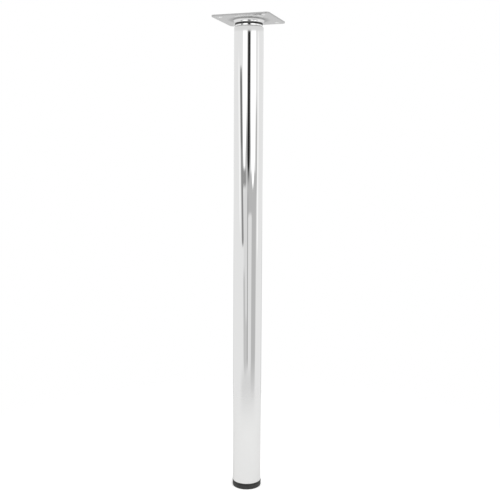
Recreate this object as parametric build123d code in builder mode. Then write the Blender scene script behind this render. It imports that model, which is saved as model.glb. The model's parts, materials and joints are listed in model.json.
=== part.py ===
"""A round chromed table leg with a screw-on mounting plate and a levelling foot.

The origin is the middle of the foot's underside, and Z runs up the leg's axis to the plate.
"""

import math
import os

from build123d import *

os.makedirs("parts", exist_ok=True)

# Leg as a whole
overall_height = 820.0
tube_diameter = 50.0
tube_wall = 1.5
tube_mouth_radius = 1.0
tube_opening_diameter = 28.0

# Neck that the top of the tube is drawn in to
neck_inset = 2.2
neck_height = 2.8
neck_slope = 70.0
neck_lean = 2.0
neck_shoulder_radius = 2.0
neck_root_radius = 0.5
neck_lip_edge_radius = 0.3

# Mounting plate, with a dish pressed down from it
plate_side = 100.0
plate_thickness = 2.5
plate_corner_radius = 6.0
screw_inset = 12.0
screw_hole_diameter = 5.0
screw_head_diameter = 8.6
screw_head_angle = 90.0
dish_margin = 0.2
dish_drop = 6.1
dish_draft = 2.0
dish_bend_radius = 4.0
dish_corner_radius = 0.8
dish_floor_radius = 0.6
dish_mouth_radius = 4.0

# Spacer ring between the dish and the end of the tube
spacer_thickness = 2.5
spacer_inset = 1.6
spacer_edge_chamfer = 0.3

# Bolt with a square neck, its low head sunk in the dish
bolt_diameter = 10.0
bolt_head_diameter = 22.0
bolt_head_thickness = 2.8
bolt_head_edge_radius = 1.4
bolt_square_relief = 0.3
bolt_engagement = 20.0

# Threaded insert welded inside the top of the tube
insert_flange_thickness = 5.0
insert_boss_diameter = 22.0
insert_thread_spare = 3.0
insert_chamfer = 0.8

# Levelling foot
foot_overhang = 0.4
foot_pad_height = 8.2
foot_travel = 15.0
foot_top_edge_radius = 1.0
foot_base_edge_radius = 1.8
foot_recess_diameter = 34.0
foot_recess_depth = 0.8
stud_diameter = 10.0
stud_head_diameter = 20.0
stud_head_thickness = 2.9
stud_head_cover = 2.0

# Plug pressed into the bottom of the tube
plug_flange_thickness = 1.5
plug_flange_edge_chamfer = 0.3
plug_floor_thickness = 2.5
plug_length = 18.0
plug_wall = 1.8
plug_fin_depth = 0.7
plug_fin_thickness = 1.6
plug_fin_count = 4
plug_rib_count = 6
plug_rib_thickness = 1.8
plug_boss_wall = 2.2
plug_roof_thickness = 3.0

# Nut held in the plug
nut_across_flats = 17.0
nut_thickness = 8.0
nut_chamfer_rise = 0.8
nut_chamfer_width = 1.4
nut_sinking = 0.4

# Clearances
thread_clearance = 0.05
press_clearance = 0.05
swivel_clearance = 0.05
square_clearance = 0.15
passage_clearance = 0.5
seat_gap = 0.3
end_chamfer = 1.0

# Heights that follow from the sizes
plate_top = overall_height
plate_underside = plate_top - plate_thickness
dish_underside = plate_underside - dish_drop
dish_floor = dish_underside + plate_thickness
tube_top = dish_underside - spacer_thickness
flange_underside = foot_pad_height + seat_gap
tube_bottom = flange_underside + plug_flange_thickness
nut_underside = flange_underside + nut_sinking
nut_top = nut_underside + nut_thickness
stud_head_top = foot_pad_height - stud_head_cover
stud_top = nut_top + foot_travel + end_chamfer

# Radii that follow from the sizes
tube_radius = tube_diameter / 2
tube_bore_radius = tube_radius - tube_wall
neck_radius = tube_radius - neck_inset
neck_bore_radius = neck_radius - tube_wall
neck_lip_radius = neck_radius + neck_height * math.tan(math.radians(neck_lean))
dish_radius = tube_radius + dish_margin
dish_widening = dish_drop * math.tan(math.radians(dish_draft))
spacer_radius = tube_radius - spacer_inset
foot_radius = tube_radius + foot_overhang
insert_radius = neck_bore_radius - press_clearance
plug_grip_radius = tube_bore_radius - press_clearance
plug_body_radius = plug_grip_radius - plug_fin_depth
thread_hole_radius = stud_diameter / 2 + thread_clearance


with BuildPart() as mounting_plate:
    with BuildSketch(Plane.XY.offset(plate_underside)):
        RectangleRounded(plate_side, plate_side, plate_corner_radius)
    extrude(amount=plate_thickness)
    with BuildSketch(Plane.XY.offset(dish_underside)):
        Circle(dish_radius)
    extrude(amount=dish_drop, taper=-dish_draft)
    with BuildSketch(Plane.XY.offset(plate_top)):
        Circle(dish_radius + dish_widening - plate_thickness)
    extrude(amount=-dish_drop, taper=dish_draft, mode=Mode.SUBTRACT)
    rings = mounting_plate.edges().filter_by(GeomType.CIRCLE)
    wide_rings = rings.filter_by(lambda edge: edge.radius > dish_radius - press_clearance)
    bore_rings = rings.filter_by(
        lambda edge: plate_corner_radius < edge.radius < dish_radius - press_clearance
    )
    # The bends of the pressed sheet, whose lower corner is struck tight against the die.
    fillet(wide_rings.sort_by(Axis.Z)[-1], radius=dish_bend_radius)
    fillet(wide_rings.sort_by(Axis.Z)[0], radius=dish_corner_radius)
    fillet(bore_rings.sort_by(Axis.Z)[0], radius=dish_floor_radius)
    fillet(bore_rings.sort_by(Axis.Z)[-1], radius=dish_mouth_radius)
    square_hole_side = bolt_diameter + 2 * square_clearance
    with BuildSketch(Plane.XY.offset(dish_underside)):
        Rectangle(square_hole_side, square_hole_side)
    extrude(amount=plate_thickness, mode=Mode.SUBTRACT)
    screw_spacing = plate_side - 2 * screw_inset
    with Locations(Plane(origin=(0, 0, plate_underside), z_dir=(0, 0, -1))):
        with GridLocations(screw_spacing, screw_spacing, 2, 2):
            CounterSinkHole(
                radius=screw_hole_diameter / 2,
                counter_sink_radius=screw_head_diameter / 2,
                depth=plate_thickness,
                counter_sink_angle=screw_head_angle,
            )
mounting_plate.part.label = "mounting_plate"
export_step(mounting_plate.part, "parts/mounting_plate.step")


with BuildPart() as plate_bolt:
    with BuildSketch(Plane.XY.offset(dish_floor)):
        Circle(bolt_head_diameter / 2)
    extrude(amount=bolt_head_thickness)
    fillet(plate_bolt.edges().sort_by(Axis.Z)[-1], radius=bolt_head_edge_radius)
    with BuildSketch(Plane.XY.offset(dish_floor)):
        Rectangle(bolt_diameter, bolt_diameter)
    extrude(amount=bolt_square_relief - plate_thickness)
    with BuildSketch(Plane.XY.offset(tube_top - bolt_engagement)):
        Circle(bolt_diameter / 2)
    extrude(amount=dish_floor - tube_top + bolt_engagement)
    chamfer(plate_bolt.edges().sort_by(Axis.Z)[0], length=end_chamfer)
plate_bolt.part.label = "plate_bolt"
export_step(plate_bolt.part, "parts/plate_bolt.step")


with BuildPart() as spacer_ring:
    with BuildSketch(Plane.XY.offset(tube_top)):
        Circle(spacer_radius)
        Circle(bolt_diameter / 2 + passage_clearance, mode=Mode.SUBTRACT)
    extrude(amount=spacer_thickness)
    spacer_rings = spacer_ring.edges().filter_by(GeomType.CIRCLE)
    spacer_rims = spacer_rings.filter_by(
        lambda edge: abs(edge.radius - spacer_radius) < press_clearance
    )
    chamfer(spacer_rims, length=spacer_edge_chamfer)
spacer_ring.part.label = "spacer_ring"
export_step(spacer_ring.part, "parts/spacer_ring.step")


with BuildPart() as top_insert:
    insert_flange_top = tube_top - tube_wall
    insert_flange_underside = insert_flange_top - insert_flange_thickness
    insert_underside = tube_top - bolt_engagement - insert_thread_spare
    with BuildSketch(Plane.XY.offset(insert_flange_underside)):
        Circle(insert_radius)
    extrude(amount=insert_flange_thickness)
    chamfer(top_insert.edges().sort_by(Axis.Z)[-1], length=insert_chamfer)
    with BuildSketch(Plane.XY.offset(insert_flange_top)):
        Circle(tube_opening_diameter / 2 - press_clearance)
    extrude(amount=tube_wall)
    with BuildSketch(Plane.XY.offset(insert_flange_underside)):
        Circle(insert_boss_diameter / 2)
    extrude(amount=insert_underside - insert_flange_underside)
    chamfer(top_insert.edges().sort_by(Axis.Z)[0], length=insert_chamfer)
    with BuildSketch(Plane.XY.offset(insert_underside)):
        Circle(bolt_diameter / 2 + thread_clearance)
    extrude(amount=tube_top - insert_underside, mode=Mode.SUBTRACT)
top_insert.part.label = "top_insert"
export_step(top_insert.part, "parts/top_insert.step")


with BuildPart() as tube:
    neck_foot = tube_top - neck_height
    shoulder_foot = neck_foot - neck_inset / math.tan(math.radians(neck_slope))
    # Inside, each corner of the neck sits lower, which keeps the wall equally thick on the slope.
    bore_shift = tube_wall * math.tan(math.radians(neck_slope / 2))
    with BuildSketch(Plane.XZ) as tube_section:
        with BuildLine():
            Polyline(
                (tube_bore_radius, tube_bottom),
                (tube_radius, tube_bottom),
                (tube_radius, shoulder_foot),
                (neck_radius, neck_foot),
                (neck_lip_radius, tube_top),
                (tube_opening_diameter / 2, tube_top),
                (tube_opening_diameter / 2, tube_top - tube_wall),
                (neck_bore_radius, tube_top - tube_wall),
                (neck_bore_radius, neck_foot - bore_shift),
                (tube_bore_radius, shoulder_foot - bore_shift),
                close=True,
            )
        make_face()
        # Each corner is looked for again, because a fillet gives the section new corners.
        for corner_radius, corner_height, rounding in (
            (tube_radius, tube_bottom, tube_mouth_radius),
            (tube_radius, shoulder_foot, neck_shoulder_radius),
            (tube_bore_radius, shoulder_foot - bore_shift, neck_shoulder_radius - tube_wall),
            (neck_radius, neck_foot, neck_root_radius),
            (neck_bore_radius, neck_foot - bore_shift, neck_root_radius + tube_wall),
            (neck_lip_radius, tube_top, neck_lip_edge_radius),
        ):
            corner = tube_section.vertices().sort_by_distance((corner_radius, corner_height))[0]
            fillet(corner, radius=rounding)
    revolve(axis=Axis.Z)
tube.part.label = "tube"
export_step(tube.part, "parts/tube.step")


with BuildPart() as bottom_plug:
    plug_boss_radius = nut_across_flats / 2 + plug_boss_wall
    rib_length = plug_body_radius - plug_wall - plug_boss_radius
    with BuildSketch(Plane.XY.offset(flange_underside)):
        Circle(foot_radius)
    extrude(amount=plug_flange_thickness)
    chamfer(bottom_plug.edges(), length=plug_flange_edge_chamfer)
    with BuildSketch(Plane.XY.offset(tube_bottom)):
        Circle(plug_body_radius)
    extrude(amount=plug_floor_thickness)
    with BuildSketch(Plane.XY.offset(tube_bottom)):
        Circle(plug_body_radius)
        Circle(plug_body_radius - plug_wall, mode=Mode.SUBTRACT)
        with PolarLocations(plug_boss_radius + rib_length / 2, plug_rib_count):
            Rectangle(rib_length + plug_wall, plug_rib_thickness)
    extrude(amount=plug_length)
    with BuildSketch(Plane.XY.offset(tube_bottom)):
        Circle(plug_boss_radius)
    extrude(amount=nut_top + plug_roof_thickness - tube_bottom)
    # Ring fins that grip the tube's bore, each a ramp that rises towards the flange.
    fin_pitch = (plug_length - plug_floor_thickness) / plug_fin_count
    with BuildSketch(Plane.XZ):
        for fin in range(plug_fin_count):
            fin_base = tube_bottom + plug_floor_thickness + fin * fin_pitch
            with BuildLine():
                Polyline(
                    (plug_body_radius - plug_wall / 2, fin_base),
                    (plug_grip_radius, fin_base),
                    (plug_body_radius, fin_base + plug_fin_thickness),
                    (plug_body_radius - plug_wall / 2, fin_base + plug_fin_thickness),
                    close=True,
                )
            make_face()
    revolve(axis=Axis.Z)
    with BuildSketch(Plane.XY.offset(flange_underside)):
        RegularPolygon(nut_across_flats / 2 + press_clearance, 6, major_radius=False)
    extrude(amount=nut_top - flange_underside, mode=Mode.SUBTRACT)
    with BuildSketch(Plane.XY.offset(nut_top)):
        Circle(stud_diameter / 2 + passage_clearance)
    extrude(amount=plug_roof_thickness, mode=Mode.SUBTRACT)
bottom_plug.part.label = "bottom_plug"
export_step(bottom_plug.part, "parts/bottom_plug.step")


with BuildPart() as bottom_nut:
    with BuildSketch(Plane.XY.offset(nut_underside)):
        RegularPolygon(nut_across_flats / 2, 6, major_radius=False)
        Circle(thread_hole_radius, mode=Mode.SUBTRACT)
    extrude(amount=nut_thickness)
    # Both ends are turned to a cone, which takes the tips off the six corners.
    nut_corner_radius = nut_across_flats / 2 / math.cos(math.pi / 6)
    with BuildSketch(Plane.XZ):
        for end_height, inward in ((nut_underside, 1), (nut_top, -1)):
            with BuildLine():
                Polyline(
                    (nut_corner_radius - nut_chamfer_width, end_height),
                    (nut_corner_radius + nut_chamfer_width, end_height),
                    (nut_corner_radius + nut_chamfer_width, end_height + 2 * inward * nut_chamfer_rise),
                    close=True,
                )
            make_face()
    revolve(axis=Axis.Z, mode=Mode.SUBTRACT)
bottom_nut.part.label = "bottom_nut"
export_step(bottom_nut.part, "parts/bottom_nut.step")


with BuildPart() as foot_stud:
    with BuildSketch(Plane.XY.offset(stud_head_top)):
        Circle(stud_head_diameter / 2)
    extrude(amount=-stud_head_thickness)
    with BuildSketch(Plane.XY.offset(stud_head_top)):
        Circle(stud_diameter / 2)
    extrude(amount=stud_top - stud_head_top)
    chamfer(foot_stud.edges().sort_by(Axis.Z)[-1], length=end_chamfer)
foot_stud.part.label = "foot_stud"
export_step(foot_stud.part, "parts/foot_stud.step")


with BuildPart() as foot_pad:
    with BuildSketch(Plane.XY):
        Circle(foot_radius)
    extrude(amount=foot_pad_height)
    fillet(foot_pad.edges().sort_by(Axis.Z)[-1], radius=foot_top_edge_radius)
    fillet(foot_pad.edges().sort_by(Axis.Z)[0], radius=foot_base_edge_radius)
    with BuildSketch(Plane.XY):
        Circle(foot_recess_diameter / 2)
    extrude(amount=foot_recess_depth, mode=Mode.SUBTRACT)
    # The cavity moulded around the stud's head, open to the top around the shank.
    with BuildSketch(Plane.XY.offset(stud_head_top + swivel_clearance)):
        Circle(stud_head_diameter / 2 + swivel_clearance)
    extrude(amount=-(stud_head_thickness + 2 * swivel_clearance), mode=Mode.SUBTRACT)
    with BuildSketch(Plane.XY.offset(stud_head_top)):
        Circle(stud_diameter / 2 + swivel_clearance)
    extrude(amount=foot_pad_height - stud_head_top, mode=Mode.SUBTRACT)
foot_pad.part.label = "foot_pad"
export_step(foot_pad.part, "parts/foot_pad.step")
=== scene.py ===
# %% [markdown]
# A chromed table leg: a round tube, a square mounting plate on top and a black levelling foot below.
# The solids come packed, at their real size and in metres, so this lesson never moves them.
# It gives each one its finish, cuts the thread that the stud really has, and sets up the studio.

# %% Load the frame
import json
import math

import bpy
from mathutils import Color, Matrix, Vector


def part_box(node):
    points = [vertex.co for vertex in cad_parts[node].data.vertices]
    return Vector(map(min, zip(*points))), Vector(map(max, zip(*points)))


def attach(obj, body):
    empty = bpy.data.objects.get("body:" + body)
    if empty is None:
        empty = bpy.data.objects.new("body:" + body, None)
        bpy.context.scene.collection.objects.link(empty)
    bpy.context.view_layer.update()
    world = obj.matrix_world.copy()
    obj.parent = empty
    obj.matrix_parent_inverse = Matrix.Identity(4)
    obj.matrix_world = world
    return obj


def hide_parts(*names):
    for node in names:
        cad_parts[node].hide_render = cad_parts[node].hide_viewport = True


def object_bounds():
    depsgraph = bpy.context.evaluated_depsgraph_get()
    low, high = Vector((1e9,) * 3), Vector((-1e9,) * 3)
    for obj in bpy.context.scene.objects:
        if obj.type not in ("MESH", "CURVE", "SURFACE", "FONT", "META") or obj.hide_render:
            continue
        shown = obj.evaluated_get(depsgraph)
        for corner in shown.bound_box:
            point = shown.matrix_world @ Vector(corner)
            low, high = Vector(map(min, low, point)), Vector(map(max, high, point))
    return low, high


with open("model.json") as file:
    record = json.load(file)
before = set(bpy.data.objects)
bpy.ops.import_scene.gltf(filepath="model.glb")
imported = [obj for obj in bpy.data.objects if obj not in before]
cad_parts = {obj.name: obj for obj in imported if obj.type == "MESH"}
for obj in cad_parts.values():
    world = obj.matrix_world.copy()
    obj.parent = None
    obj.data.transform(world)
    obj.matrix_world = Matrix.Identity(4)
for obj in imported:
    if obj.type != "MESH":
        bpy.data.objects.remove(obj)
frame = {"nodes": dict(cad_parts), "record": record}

cad_low, cad_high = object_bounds()
print("frame box:", [round(v, 4) for v in (*cad_low, *cad_high)])

# %% [markdown]
# The leg is long and slim, so the camera stands well over a metre away and looks a little down.
# It sees the underside of the plate, because it is lower than the plate, and the foot from above.
# The angles are read from the ellipses that the plate, the ring and the foot make in the picture.
# The focal length was measured in pixels of that picture, and the lens wants it in millimetres.

# %% Camera
camera_azimuth = math.radians(18.8)
camera_distance = 1.325
camera_height = 0.5804
camera_pitch = math.radians(6.621)
camera_yaw = math.radians(0.13)
camera_roll = math.radians(-0.313)
sensor_width = 36.0
focal_pixels = 763.0
picture_pixels = 500.0

camera_data = bpy.data.cameras.new("camera")
camera = bpy.data.objects.new("camera", camera_data)
bpy.context.scene.collection.objects.link(camera)
bpy.context.scene.camera = camera
camera_data.sensor_width = sensor_width
camera_data.lens = sensor_width * (focal_pixels / picture_pixels)
camera.location = (
    camera_distance * math.sin(camera_azimuth),
    -camera_distance * math.cos(camera_azimuth),
    camera_height,
)
camera.rotation_euler = (math.pi / 2 - camera_pitch, camera_roll, camera_azimuth - camera_yaw)
print("lens:", round(camera_data.lens, 2), "mm")

# %% [markdown]
# Chrome has no colour of its own: all that the eye reads on it is the room. A plain white room
# leaves a chromed tube almost invisible, so the studio has two large white panels in front, with a
# dark gap between them for the camera, and lets darker stands and a grey table show below.
# Here the room is painted on the world, by direction, and only shiny rays see it.
#
# A tone is given as the grey that it makes in the chrome, from 0 to 255. Blender counts light and
# not grey levels, so one helper turns the tone back into light and makes up for the chrome's loss.

# %% Greys in the chrome
chrome_reflectance = 0.9
white_level = 255


def light_for(level):
    """The light that shows in the chrome as this grey level."""
    share = level / white_level
    return Color((share, share, share)).from_srgb_to_scene_linear().r / chrome_reflectance


print("light for white:", round(light_for(white_level), 3))

# %% [markdown]
# An area of the room has a left and a right bearing, counted from the camera, and a low and a high
# elevation, all in degrees. A tone of more than 255 is brighter than white. The sides lean by so
# many degrees for each degree up. The corners are rounded by a width and a height in degrees, and
# the softness is the share of that which the edge takes. Later areas are painted over earlier ones.

# %% Areas of the room
room_grey = 226
room_areas = [
    # name, left, right, low, high, tone, lean, corner width, corner height, softness
    ("low wall", -50, 64, -40, -15.4, 210, 0, 30, 2.0, 0.6),
    ("table", 30.5, 70.5, -16.4, -1.4, 181, 0.25, 8, 3.2, 0.6),
    ("table edge", -10, 63, -4.0, -0.8, 180, 0, 4, 0.6, 0.5),
    ("pale wall", -33, -5, -15.6, -1.7, 214, 0, 6, 1.8, 0.6),
    ("light strip", 6.5, 29, -15.4, -4.0, 219, 0, 5, 0.8, 0.5),
    ("left stand", -45.5, -32.5, -15.6, -8.2, 186, -1.2, 6, 1.2, 0.6),
    ("low gap", -23, -1, -15.6, -11.8, 193, 0, 6, 1.4, 0.6),
    ("centre stand", -6.5, 1.0, -15.4, -2.2, 158, -0.2, 4, 0.8, 0.6),
    ("left white column", -79, -67, -5, 7.5, 244, -1.6, 6, 2.5, 0.5),
    ("right white column", 77, 88, -7, 9.5, 247, 0, 5, 2.0, 0.5),
    ("left flag", -59.5, -43.5, -6.3, 6.9, 136, -1.72, 6, 0.6, 0.4),
    ("flag head", -60.5, -44, 1.0, 6.4, 112, -1.72, 6, 1.0, 0.5),
    ("left shelf", -50, -14, -1.85, -0.5, 146, 0, 6, 0.6, 0.5),
    ("right edge", 61, 72, -3.0, 4.4, 170, 0, 6, 2.4, 0.5),
    ("gap surround", -23, 19, -0.9, 3.0, 178, 0, 7, 3.0, 0.6),
    ("left panel", -46, -15.5, -0.55, 75, 275, 0, 15.25, 7.5, 0.05),
    ("right panel", 20, 56, -1.95, 75, 275, 0, 18, 6.5, 0.05),
    ("dark gap", -7.5, 12.5, -1.2, 12.5, 36, 0, 7, 2.2, 0.4),
    ("back wall", 150, 210, -40, -4, 200, 0, 24, 6, 0.6),
    ("back gap", 173, 187, -1.5, 9.45, 60, 0, 6, 0.7, 0.5),
    ("upper wall", -200, 200, 9.42, 110, 214, 0, 6, 0.2, 0.5),
]
print("areas in the room:", len(room_areas))

# %% [markdown]
# The room and every material below are small networks of nodes. Three helpers keep them readable:
# one fills a node's sockets by name, one adds a node and fills its sockets in order, and one does
# sums. Given a socket, they make a link, and given a number or a colour, they type it in.

# %% Node helpers
def fill(node, values):
    """Fills a node's inputs by name or place. A socket is linked, anything else is typed in."""
    for name, value in values.items():
        if isinstance(value, bpy.types.NodeSocket):
            node.id_data.links.new(value, node.inputs[name])
        else:
            node.inputs[name].default_value = value


def add_node(tree, kind, *values, **settings):
    """Adds a node, sets its options, and fills its inputs in order. None leaves an input alone."""
    node = tree.nodes.new(kind)
    for name, setting in settings.items():
        setattr(node, name, setting)
    fill(node, {place: value for place, value in enumerate(values) if value is not None})
    return node


def calculate(tree, operation, *values):
    """The result of one Math node."""
    return add_node(tree, "ShaderNodeMath", *values, operation=operation).outputs[0]


# %% [markdown]
# A world shader only knows the direction of a ray. Turned until the camera is straight ahead, that
# gives a bearing, from its two level parts, and an elevation, from its upright part.

# %% Directions in the room
world = bpy.data.worlds.new("studio")
bpy.context.scene.world = world
world.use_nodes = True
sky = world.node_tree
sky.nodes.clear()
ray_direction = add_node(sky, "ShaderNodeTexCoord").outputs["Generated"]
turned = add_node(
    sky, "ShaderNodeVectorRotate", ray_direction, None, None, -camera_azimuth, rotation_type="Z_AXIS"
)
direction = add_node(sky, "ShaderNodeSeparateXYZ", turned.outputs[0]).outputs
towards_camera = calculate(sky, "MULTIPLY", direction["Y"], -1.0)
bearing = calculate(sky, "DEGREES", calculate(sky, "ARCTAN2", direction["X"], towards_camera))
elevation = calculate(sky, "DEGREES", calculate(sky, "ARCSINE", direction["Z"]))
print("room turned by:", round(math.degrees(camera_azimuth), 1), "degrees")

# %% [markdown]
# Each area needs a mask, which is 1 inside it and 0 outside. Along a side only the place across it
# counts. In a corner the places across and along are the two short sides of a right triangle, so
# the edge runs round the corner as an arc. A smooth step makes that edge soft.

# %% Masks of the areas
half_turn = 180.0


def fade(tree, value, start, end):
    """1 below start and 0 above end, with a smooth step between them."""
    node = add_node(
        tree, "ShaderNodeMapRange", value, start, end, 1.0, 0.0, interpolation_type="SMOOTHSTEP"
    )
    return node.outputs["Result"]


def past(value, half, corner):
    """How far a value lies in the corner zone at the end of a half span: 0 before it, 1 at the end."""
    over = calculate(sky, "MAXIMUM", calculate(sky, "SUBTRACT", value, half - corner), 0.0)
    return calculate(sky, "DIVIDE", over, corner)


def area_mask(left, right, low, high, lean, corner_width, corner_height, softness):
    """1 inside an area of the room and 0 outside it, with a soft edge and rounded corners."""
    shift = calculate(sky, "MULTIPLY_ADD", elevation, -lean, -(left + right) / 2)
    # Bearings run from -180 to 180, so a far one is brought back by a full turn.
    away = calculate(sky, "WRAP", calculate(sky, "ADD", bearing, shift), half_turn, -half_turn)
    rise = calculate(sky, "SUBTRACT", elevation, (low + high) / 2)
    across = past(calculate(sky, "ABSOLUTE", away), (right - left) / 2, corner_width)
    along = past(calculate(sky, "ABSOLUTE", rise), (high - low) / 2, corner_height)
    squares = calculate(sky, "MULTIPLY_ADD", along, along, calculate(sky, "MULTIPLY", across, across))
    return fade(sky, calculate(sky, "SQRT", squares), 1.0 - softness, 1.0 + softness)


# %% [markdown]
# The room starts as one grey, and each area is mixed over it through its mask.

# %% Paint the room
def mix(tree, factor, first, second, kind="FLOAT"):
    """A blend from the first value to the second. The kind is FLOAT for numbers, RGBA for colours."""
    node = add_node(tree, "ShaderNodeMix", data_type=kind)
    fill(node, {"Factor": factor, "A": first, "B": second})
    return node.outputs["Result"]


room = add_node(sky, "ShaderNodeValue").outputs[0]
room.default_value = light_for(room_grey)
for name, left, right, low, high, tone, *shape in room_areas:
    room = mix(sky, area_mask(left, right, low, high, *shape), room, light_for(tone))
print("nodes in the room:", len(sky.nodes))

# %% [markdown]
# The Light Path node tells what kind of ray asks. Shiny rays see the painted room, matt surfaces
# get plain even light, and the camera itself sees white behind the leg.

# %% Who sees the room
matt_light = 0.66
camera_light = 1.0
white = (1.0, 1.0, 1.0, 1.0)

ray = add_node(sky, "ShaderNodeLightPath").outputs
shiny = calculate(sky, "MAXIMUM", ray["Is Glossy Ray"], ray["Is Transmission Ray"])
for_objects = mix(sky, shiny, matt_light, room)
seen = mix(sky, ray["Is Camera Ray"], for_objects, camera_light)
background = add_node(sky, "ShaderNodeBackground", white, seen)
add_node(sky, "ShaderNodeOutputWorld", background.outputs[0])
print("nodes in the world:", len(sky.nodes))

# %% [markdown]
# The floor is a round pale sheet that thins out to its rim, so the chrome shows no line where the
# room begins. In the camera's own rays it gets a little light of its own, which lifts it to white and
# leaves the shadow of the leg on it, and shiny rays get a trace of it too. The floor rides on the foot
# pad, so it stays under the foot when the foot is screwed out and the leg stands taller.

# %% Floor paint
floor_white = (0.9, 0.9, 0.895, 1.0)
floor_roughness = 0.9
floor_solid_radius = 0.26
floor_clear_radius = 0.7
floor_lift = 0.42
floor_shiny_lift = 0.045

floor_paint = bpy.data.materials.new("floor")
floor_paint.use_nodes = True
floor_tree = floor_paint.node_tree
floor_place = add_node(floor_tree, "ShaderNodeTexCoord").outputs["Object"]
floor_reach = add_node(floor_tree, "ShaderNodeVectorMath", floor_place, operation="LENGTH")
cover = fade(floor_tree, floor_reach.outputs["Value"], floor_solid_radius, floor_clear_radius)
floor_ray = add_node(floor_tree, "ShaderNodeLightPath").outputs
shiny_lift = calculate(floor_tree, "MULTIPLY", floor_ray["Is Glossy Ray"], floor_shiny_lift)
lift = calculate(floor_tree, "MULTIPLY_ADD", floor_ray["Is Camera Ray"], floor_lift, shiny_lift)
fill(
    floor_tree.nodes["Principled BSDF"],
    {
        "Base Color": floor_white,
        "Roughness": floor_roughness,
        "Specular IOR Level": 0.0,
        "Alpha": cover,
        "Emission Color": white,
        "Emission Strength": lift,
    },
)
print("nodes in the floor paint:", len(floor_tree.nodes))

# %% [markdown]
# The sheet itself is one flat face with many sides, at the height of the foot's underside. It belongs
# to the studio and not to the leg.

# %% Floor sheet
floor_radius = 0.75
floor_sides = 128

bpy.ops.object.select_all(action="DESELECT")
bpy.ops.mesh.primitive_circle_add(
    vertices=floor_sides, radius=floor_radius, fill_type="NGON", location=(0, 0, cad_low.z)
)
floor = bpy.context.object
floor.name = "floor"
bpy.ops.object.transform_apply(location=True, rotation=True, scale=True)
floor.data.materials.append(floor_paint)
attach(floor, "pad")
print("floor across:", [round(v, 3) for v in floor.dimensions])

# %% [markdown]
# One broad lamp from the upper right and a weaker one from the left give the matt parts their form.
# They are kept out of the chrome, which already has its two panels.

# %% Lamps
def add_lamp(name, bearing_degrees, rise_degrees, distance, size, power):
    """A square area lamp that points at the middle of the leg, placed by its bearing from the camera."""
    around = camera_azimuth + math.radians(bearing_degrees)
    rise = math.radians(rise_degrees)
    offset = Vector(
        (
            math.sin(around) * math.cos(rise),
            -math.cos(around) * math.cos(rise),
            math.sin(rise),
        )
    )
    data = bpy.data.lights.new(name, "AREA")
    data.size = size
    data.energy = power
    lamp = bpy.data.objects.new(name, data)
    bpy.context.scene.collection.objects.link(lamp)
    lamp.location = (cad_low + cad_high) / 2 + distance * offset
    lamp.rotation_mode = "QUATERNION"
    lamp.rotation_quaternion = offset.to_track_quat("Z", "Y")
    lamp.visible_glossy = False
    lamp.visible_camera = False
    print(name, "at", [round(v, 2) for v in lamp.location])


add_lamp("key lamp", bearing_degrees=40, rise_degrees=48, distance=2.4, size=1.4, power=17.0)
add_lamp("fill lamp", bearing_degrees=-60, rise_degrees=40, distance=2.4, size=1.6, power=9.0)

# %% [markdown]
# Three effects are shared by several finishes, so each is a node group with named sockets, built
# once and placed in the materials that need it. All three start from a noise texture in the piece's
# own coordinates, so they keep their size in metres.

# %% Group helpers
def new_group(name, inputs, output):
    """A shader node group with named number inputs and one output, its inputs and its end node."""
    group = bpy.data.node_groups.new(name, "ShaderNodeTree")
    for socket_name, default in inputs.items():
        socket = group.interface.new_socket(socket_name, in_out="INPUT", socket_type="NodeSocketFloat")
        socket.default_value = default
    group.interface.new_socket(output, in_out="OUTPUT", socket_type="NodeSocketFloat")
    return group, group.nodes.new("NodeGroupInput").outputs, group.nodes.new("NodeGroupOutput")


def add_noise(tree, place, scale, detail, roughness):
    """The value of one noise texture, around one half."""
    return add_node(tree, "ShaderNodeTexNoise", place, None, scale, detail, roughness).outputs[0]


# %% [markdown]
# Handling leaves faint cloudy smears and hair-fine scratches, which show only as a change of gloss.
# The smears are a broad noise raised to a power, so that they stay apart. The scratches are the
# low spots of a noise squeezed hard across the leg, which makes long upright hairs of it.

# %% Handling
smears_per_metre = 14.0
smear_detail = 4.0
smear_roughness = 0.55
smear_contrast = 2.5
hairs_per_metre = (900.0, 900.0, 14.0)
hair_detail = 2.0
hair_roughness = 0.6
hair_full = 0.28
hair_none = 0.4

handling, wear, handling_end = new_group(
    "handling", {"Base": 0.05, "Smears": 0.03, "Scratches": 0.02}, "Roughness"
)
place = add_node(handling, "ShaderNodeTexCoord").outputs["Object"]
cloud = add_noise(handling, place, smears_per_metre, smear_detail, smear_roughness)
smears = calculate(
    handling, "MULTIPLY", calculate(handling, "POWER", cloud, smear_contrast), wear["Smears"]
)
stretched = add_node(handling, "ShaderNodeMapping", place, None, None, hairs_per_metre)
hair = add_noise(handling, stretched.outputs[0], 1.0, hair_detail, hair_roughness)
scratches = calculate(
    handling, "MULTIPLY", fade(handling, hair, hair_full, hair_none), wear["Scratches"]
)
worn = calculate(handling, "ADD", smears, scratches)
fill(handling_end, {"Roughness": calculate(handling, "ADD", wear["Base"], worn)})
print("handling inputs:", [socket.name for socket in wear if socket.name])

# %% [markdown]
# Plating and plastic are never of quite one tint, so a broad noise mixes two near ones. A moulded or
# plated skin has a fine grain too, which is a height for a Bump node.

# %% Tint and grain
tint_detail = 3.0
tint_roughness = 0.5
grain_detail = 3.0
grain_roughness = 0.6

tint, tint_in, tint_end = new_group("tint", {"Clouds per metre": 35.0}, "Tint")
tint_place = add_node(tint, "ShaderNodeTexCoord").outputs["Object"]
clouds = tint_in["Clouds per metre"]
fill(tint_end, {"Tint": add_noise(tint, tint_place, clouds, tint_detail, tint_roughness)})

grain, grain_in, grain_end = new_group("grain", {"Cells per metre": 2500.0}, "Height")
grain_place = add_node(grain, "ShaderNodeTexCoord").outputs["Object"]
cells = grain_in["Cells per metre"]
fill(grain_end, {"Height": add_noise(grain, grain_place, cells, grain_detail, grain_roughness)})
print("shared effects:", [group.name for group in bpy.data.node_groups])

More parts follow.
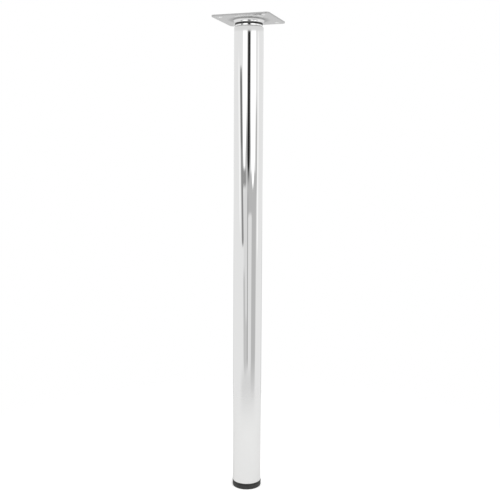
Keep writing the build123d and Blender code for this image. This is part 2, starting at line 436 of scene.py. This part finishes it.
# %% [markdown]
# The tube is polished steel with a bright chrome plating. Chrome is a Principled shader at full
# Metallic: its colour comes from the mix of two near tints, and its gloss from the handling group.
# All the other finishes of the leg start in the same way, so one function makes them.

# %% Chrome
def place_group(tree, group, values):
    """The outputs of one use of a shared group, with its own values."""
    node = add_node(tree, "ShaderNodeGroup", node_tree=group)
    fill(node, values)
    return node.outputs


def new_finish(name, metallic, first_tint, second_tint, base, smears, scratches):
    """A material whose colour and gloss change a little over the surface."""
    material = bpy.data.materials.new(name)
    material.use_nodes = True
    tree = material.node_tree
    cloud = place_group(tree, tint, {})["Tint"]
    colour = mix(tree, cloud, (*first_tint, 1.0), (*second_tint, 1.0), kind="RGBA")
    gloss = place_group(tree, handling, {"Base": base, "Smears": smears, "Scratches": scratches})
    fill(
        tree.nodes["Principled BSDF"],
        {"Metallic": metallic, "Base Color": colour, "Roughness": gloss["Roughness"]},
    )
    print("finish:", name)
    return material


chrome = new_finish(
    "polished_chrome",
    metallic=1.0,
    first_tint=(0.9, 0.9, 0.9),
    second_tint=(0.905, 0.905, 0.9),
    base=0.015,
    smears=0.02,
    scratches=0.02,
)

# %% [markdown]
# Zinc plating is paler and duller than chrome, with a faint blue and yellow cast. The foot and the
# plug are moulded in a black plastic with a slight sheen and a fine spark-eroded skin. Both have a
# grain that can be felt, so a Bump node raises it by two or three hundredths of a millimetre.

# %% Zinc and plastic
def add_skin(material, cells_per_metre, height):
    """A raised grain on a finish."""
    tree = material.node_tree
    skin = place_group(tree, grain, {"Cells per metre": cells_per_metre})
    bump = add_node(tree, "ShaderNodeBump")
    fill(bump, {"Strength": 1.0, "Distance": height, "Height": skin["Height"]})
    fill(tree.nodes["Principled BSDF"], {"Normal": bump.outputs[0]})


zinc = new_finish(
    "zinc_plate",
    metallic=1.0,
    first_tint=(0.62, 0.63, 0.65),
    second_tint=(0.72, 0.71, 0.68),
    base=0.28,
    smears=0.1,
    scratches=0.05,
)
add_skin(zinc, cells_per_metre=3000.0, height=0.00002)

plastic = new_finish(
    "black_plastic",
    metallic=0.0,
    first_tint=(0.02, 0.02, 0.02),
    second_tint=(0.035, 0.035, 0.034),
    base=0.42,
    smears=0.1,
    scratches=0.05,
)
add_skin(plastic, cells_per_metre=2600.0, height=0.00003)

# %% [markdown]
# The plate is plated with the tube but polished less, so it shows the tube and the black ring only
# as a soft dark shape. Its dish and the sinks for the screws are struck by a polished punch. Round
# the dish a ring of painted shade darkens the plate's colour, and the rim, which the press has cut,
# is duller. The plate's own coordinates are needed to say where, and how far a point lies from another.

# %% Plate finish
plate_steel = new_finish(
    "satin_chrome",
    metallic=1.0,
    first_tint=(0.765, 0.765, 0.76),
    second_tint=(0.8, 0.8, 0.8),
    base=0.12,
    smears=0.05,
    scratches=0.01,
)
plate_low, plate_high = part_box("mounting_plate")
plate_tree = plate_steel.node_tree
plate_shader = plate_tree.nodes["Principled BSDF"]
plate_texture = add_node(plate_tree, "ShaderNodeTexCoord").outputs
plate_place = add_node(plate_tree, "ShaderNodeSeparateXYZ", plate_texture["Object"]).outputs
plate_normal = add_node(plate_tree, "ShaderNodeSeparateXYZ", plate_texture["Normal"]).outputs
beside = calculate(plate_tree, "ABSOLUTE", plate_place["X"])
ahead = calculate(plate_tree, "ABSOLUTE", plate_place["Y"])


def plate_distance(across, along):
    """The distance from a point of the plate, from the two sides of a right triangle."""
    square = calculate(plate_tree, "MULTIPLY", along, along)
    return calculate(plate_tree, "SQRT", calculate(plate_tree, "MULTIPLY_ADD", across, across, square))


print("plate side:", round(plate_high.x - plate_low.x, 4))

# %% [markdown]
# Now each treated place gets its mask. The dish and the ring of painted shade round it are measured
# from the middle, and the sinks from a point near each corner. The rim is the outermost strip of the
# plate, but only where its faces don't lie level, so that the flat faces stay as they are.

# %% Where the plate was struck and cut
dish_reach = 0.0262
dish_edge = 0.0006
# The ring of painted shade round the dish starts and ends this far past the dish's edge.
shade_ring_start = 0.0015
shade_ring_reach = 0.0125
sink_inset = 0.012
sink_reach = 0.0045
sink_edge = 0.0002
rim_width = 0.004
level_normal = 0.97

centre_distance = plate_distance(beside, ahead)
dish_mask = fade(plate_tree, centre_distance, dish_reach - dish_edge, dish_reach + dish_edge)
# The ring of painted shade: the dish together with its surroundings, less the dish itself.
dish_and_shade_ring = fade(
    plate_tree, centre_distance, dish_reach + shade_ring_start, dish_reach + shade_ring_reach
)
shade_ring_mask = calculate(plate_tree, "SUBTRACT", dish_and_shade_ring, dish_mask)
sink_distance = plate_distance(
    calculate(plate_tree, "SUBTRACT", beside, plate_high.x - sink_inset),
    calculate(plate_tree, "SUBTRACT", ahead, plate_high.x - sink_inset),
)
sink_mask = fade(plate_tree, sink_distance, sink_reach - sink_edge, sink_reach)
bright_mask = calculate(plate_tree, "MAXIMUM", dish_mask, sink_mask)
height_of_normal = calculate(plate_tree, "ABSOLUTE", plate_normal["Z"])
upright = calculate(plate_tree, "LESS_THAN", height_of_normal, level_normal)
furthest = calculate(plate_tree, "MAXIMUM", beside, ahead)
outside = calculate(plate_tree, "GREATER_THAN", furthest, plate_high.x - rim_width)
rim_mask = calculate(plate_tree, "MULTIPLY", outside, upright)
# The second distance printed is the outer edge of the ring of painted shade.
print("dish out to:", dish_reach, "duller metal out to:", dish_reach + shade_ring_reach)

# %% [markdown]
# Each mask then blends its own grey over the plate's colour, and two of them change the gloss. The
# dark grey of the ring round the dish is painted shade.

# %% Colour and gloss of the plate
bright_tone = 0.9
shade_ring_tone = 0.4
# The ring round the dish is darkened to this grey as painted shade.
rim_tone = 0.56
bright_roughness_change = -0.1
rim_roughness_change = 0.25

plate_colour = plate_shader.inputs["Base Color"].links[0].from_socket
for mask, tone in ((bright_mask, bright_tone), (shade_ring_mask, shade_ring_tone), (rim_mask, rim_tone)):
    plate_colour = mix(plate_tree, mask, plate_colour, (tone, tone, tone, 1.0), kind="RGBA")
plate_gloss = plate_shader.inputs["Roughness"].links[0].from_socket
for mask, change in ((bright_mask, bright_roughness_change), (rim_mask, rim_roughness_change)):
    plate_gloss = calculate(plate_tree, "MULTIPLY_ADD", mask, change, plate_gloss)
fill(plate_shader, {"Base Color": plate_colour, "Roughness": plate_gloss})
print("nodes in the plate finish:", len(plate_tree.nodes))

# %% [markdown]
# The CAD solids keep their shape, and each takes its finish in its own material slot.

# %% Dress the solids
finish_of_slot = {
    "chrome": chrome,
    "plate_steel": plate_steel,
    "zinc_steel": zinc,
    "black_plastic": plastic,
}
slot_of_node = {part["node"]: part["material_slot"] for part in frame["record"]["subparts"]}
for node_name, solid in frame["nodes"].items():
    solid.data.materials.clear()
    solid.data.materials.append(finish_of_slot[slot_of_node[node_name]])
print("dressed solids:", len(frame["nodes"]))

# %% [markdown]
# The stud of the foot is a plain rod among the solids, because a fine thread is only looks. Here it
# gets its real thread, M10 with a pitch of 1.5 mm. A metric thread is flat on its crests for an
# eighth of the pitch and at its roots for a quarter. It starts a little way inside the flat head,
# and a few turns more than needed are wound at each end, to be cut off later.

# %% Thread sizes
stud_low, stud_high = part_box("foot_stud")
thread_pitch = 0.0015
thread_radius = 0.005
thread_depth = 0.000812
crest_width = thread_pitch / 8
root_width = thread_pitch / 4
flank_width = (thread_pitch - crest_width - root_width) / 2
head_height = 0.0029
thread_overlap = 0.0002
shank_low = stud_low.z + head_height - thread_overlap
spare_turns = 2
thread_turns = math.ceil((stud_high.z - shank_low) / thread_pitch) + 2 * spare_turns
thread_steps = 48
print("thread turns:", thread_turns)

# %% [markdown]
# One tooth is a line of corners beside the axis: root, flank, crest and flank. A small plane merged
# to one point starts it, and that point is extruded four times.

# %% One tooth
bpy.ops.object.select_all(action="DESELECT")
bpy.ops.mesh.primitive_plane_add(size=thread_pitch, location=(0, 0, 0))
thread = bpy.context.object
bpy.ops.object.mode_set(mode="EDIT")
bpy.ops.mesh.select_mode(type="VERT")
bpy.ops.mesh.select_all(action="SELECT")
bpy.ops.mesh.merge(type="CENTER")
tooth_start = (thread_radius - thread_depth, 0, shank_low - spare_turns * thread_pitch)
bpy.ops.transform.translate(value=tooth_start)
for outward, upward in (
    (0, root_width),
    (thread_depth, flank_width),
    (0, crest_width),
    (-thread_depth, flank_width),
):
    bpy.ops.mesh.extrude_vertices_move(TRANSFORM_OT_translate={"value": (outward, 0, upward)})
bpy.ops.object.mode_set(mode="OBJECT")
print("corners of the tooth:", len(thread.data.vertices))

# %% [markdown]
# A Screw modifier winds that line up the axis, one pitch for each full turn.

# %% Wind the thread
screw = thread.modifiers.new("screw", "SCREW")
screw.axis = "Z"
screw.angle = math.tau
screw.screw_offset = thread_pitch
screw.iterations = thread_turns
screw.steps = thread_steps
screw.render_steps = thread_steps
bpy.ops.object.modifier_apply(modifier="screw")
print("wound faces:", len(thread.data.polygons))

# %% [markdown]
# The turns only become one skin when the points where they meet are merged. Both open ends are then
# cut flat and filled, a little past the stud's own ends, so that the next step has a closed solid
# to trim.

# %% Thread ends
merge_distance = 0.000001
end_margin = 0.0004

bpy.ops.object.mode_set(mode="EDIT")
bpy.ops.mesh.select_all(action="SELECT")
bpy.ops.mesh.remove_doubles(threshold=merge_distance)
for height, normal_z in ((shank_low - end_margin, -1), (stud_high.z + end_margin, 1)):
    bpy.ops.mesh.select_all(action="SELECT")
    bpy.ops.mesh.bisect(
        plane_co=(0, 0, height), plane_no=(0, 0, normal_z), clear_outer=True, use_fill=True
    )
bpy.ops.mesh.select_all(action="SELECT")
bpy.ops.mesh.normals_make_consistent(inside=False)
bpy.ops.object.mode_set(mode="OBJECT")
print("thread faces:", len(thread.data.polygons))

# %% [markdown]
# Two short rods with bevelled ends are still needed: one to trim the thread and one for the head.
# A helper makes a rod on the leg's axis, and another bevels the ends that it is told to. It finds
# the flat ends by their normals, which point up or down.

# %% Rod helpers
flat_normal = 0.9


def add_rod(radius, low, height, sides):
    """A cylinder on the leg's axis, from its low end up."""
    bpy.ops.object.select_all(action="DESELECT")
    bpy.ops.mesh.primitive_cylinder_add(
        vertices=sides, radius=radius, depth=height, location=(0, 0, low + height / 2)
    )
    rod = bpy.context.object
    bpy.ops.object.transform_apply(location=True, rotation=True, scale=True)
    return rod


def bevel_ends(rod, ends, width, segments):
    """Bevels a rod's flat ends, where 1 stands for the upper end and -1 for the lower one."""
    bpy.ops.object.mode_set(mode="EDIT")
    bpy.ops.mesh.select_mode(type="FACE")
    bpy.ops.mesh.select_all(action="DESELECT")
    bpy.ops.object.mode_set(mode="OBJECT")
    for face in rod.data.polygons:
        face.select = any(face.normal.z * end > flat_normal for end in ends)
    bpy.ops.object.mode_set(mode="EDIT")
    bpy.ops.mesh.bevel(offset=width, segments=segments)
    bpy.ops.object.mode_set(mode="OBJECT")


# %% [markdown]
# A real thread is cut on a bevelled rod, so that the nut finds its way on. Here the bevelled rod
# comes last: a Boolean keeps only what lies both in the thread and in the rod.

# %% Stud lead-in
blank_margin = 0.0002
lead_in = 0.0012

blank = add_rod(thread_radius + blank_margin, shank_low, stud_high.z - shank_low, thread_steps)
bevel_ends(blank, ends=(1,), width=lead_in, segments=1)

bpy.ops.object.select_all(action="DESELECT")
thread.select_set(True)
bpy.context.view_layer.objects.active = thread
trim = thread.modifiers.new("trim", "BOOLEAN")
trim.operation = "INTERSECT"
trim.solver = "EXACT"
trim.object = blank
bpy.ops.object.modifier_apply(modifier="trim")
bpy.data.objects.remove(blank)
print("trimmed thread faces:", len(thread.data.polygons))

# %% [markdown]
# The head is a flat round disc that the foot pad is moulded around. It takes its radius from the
# solid that this piece replaces, has softly rounded rims, and is joined to the thread. The joined
# piece is smooth except where its faces meet at a clear angle.

# %% Stud head
head_sides = 96
head_rounding = 0.0003
crease_angle = math.radians(28)

stud_head = add_rod(stud_high.x, stud_low.z, head_height, head_sides)
bevel_ends(stud_head, ends=(-1, 1), width=head_rounding, segments=2)
thread.select_set(True)
bpy.context.view_layer.objects.active = thread
bpy.ops.object.join()
bpy.ops.object.transform_apply(location=True, rotation=True, scale=True)
bpy.ops.object.shade_smooth_by_angle(angle=crease_angle)
thread.name = "threaded_stud"
thread.data.materials.clear()
thread.data.materials.append(zinc)
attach(thread, "stud")
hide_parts("foot_stud")
print("stud box:", [round(v, 4) for v in (*thread.bound_box[0], *thread.bound_box[6])])

# %% [markdown]
# The Standard view keeps white paper white.

# %% Finish
bpy.context.scene.view_settings.view_transform = "Standard"
